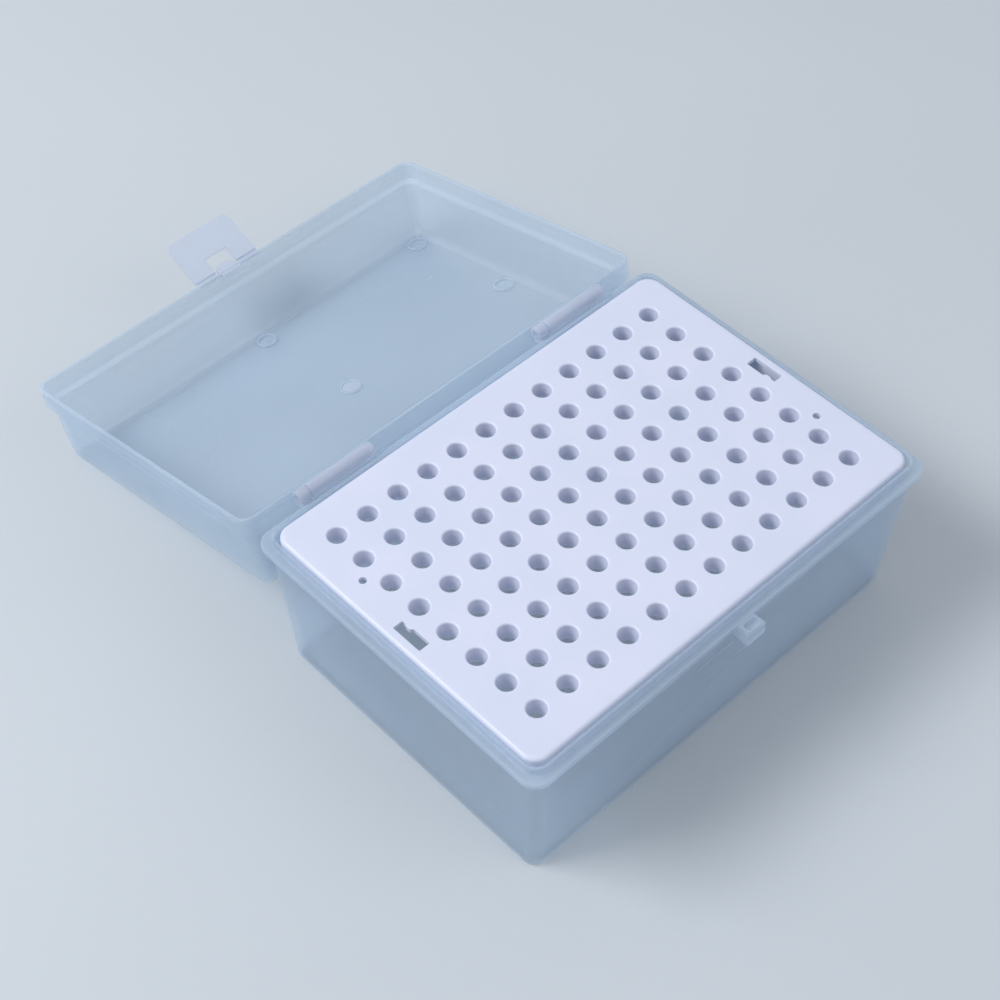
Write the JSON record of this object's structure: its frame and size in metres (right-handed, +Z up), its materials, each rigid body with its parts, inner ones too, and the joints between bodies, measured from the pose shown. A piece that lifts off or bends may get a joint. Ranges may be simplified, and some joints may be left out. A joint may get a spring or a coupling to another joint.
{
  "type": "hinged tube storage box",
  "caption": "Translucent hinged laboratory storage box with a lift-out perforated rack plate, a shallow lid on pin hinges and a windowed latch flap on a living hinge.",
  "frame": {"origin": "centre of the flat underside of the tub, on the surface that the box stands on", "axes": "+Z up out of the tub; +X along the long side, parallel to the lid hinge; +Y from the latch side towards the hinge side"},
  "size_m": [0.1256, 0.1975, 0.0444],
  "materials": {
    "frosted_pp": "frosted translucent",
    "milky_pp": "milky translucent",
    "white_plate": "satin"
  },
  "bodies": {
    "base": {"base_tub": "frosted_pp", "front_catch": "milky_pp", "hinge_lug_left": "milky_pp", "hinge_lug_right": "milky_pp", "hinge_pin_left": "milky_pp", "hinge_pin_right": "milky_pp"},
    "rack": {"rack_plate": "white_plate"},
    "lid": {"lid_shell": "frosted_pp", "hinge_barrel_left": "milky_pp", "hinge_barrel_right": "milky_pp", "latch_lug": "milky_pp", "latch_web_left": "milky_pp", "latch_web_right": "milky_pp"},
    "latch": {"latch_flap": "milky_pp"}
  },
  "joints": [
    {"name": "lid_hinge", "type": "hinge", "parent": "base", "child": "lid", "pos_m": [0, 0.0467, 0.04265], "axis": [1, 0, 0], "range_deg": [0, 194.4]},
    {"name": "latch_living_hinge", "type": "hinge", "parent": "lid", "child": "latch", "pos_m": [0, 0.13625, 0.01949], "axis": [1, 0, 0], "range_deg": [-50, 54], "stiffness_Nm_per_rad": 0.002},
    {"name": "rack_lift", "type": "slide", "parent": "base", "child": "rack", "axis": [0, 0, 1], "range_m": [0, 0.03]}
  ]
}
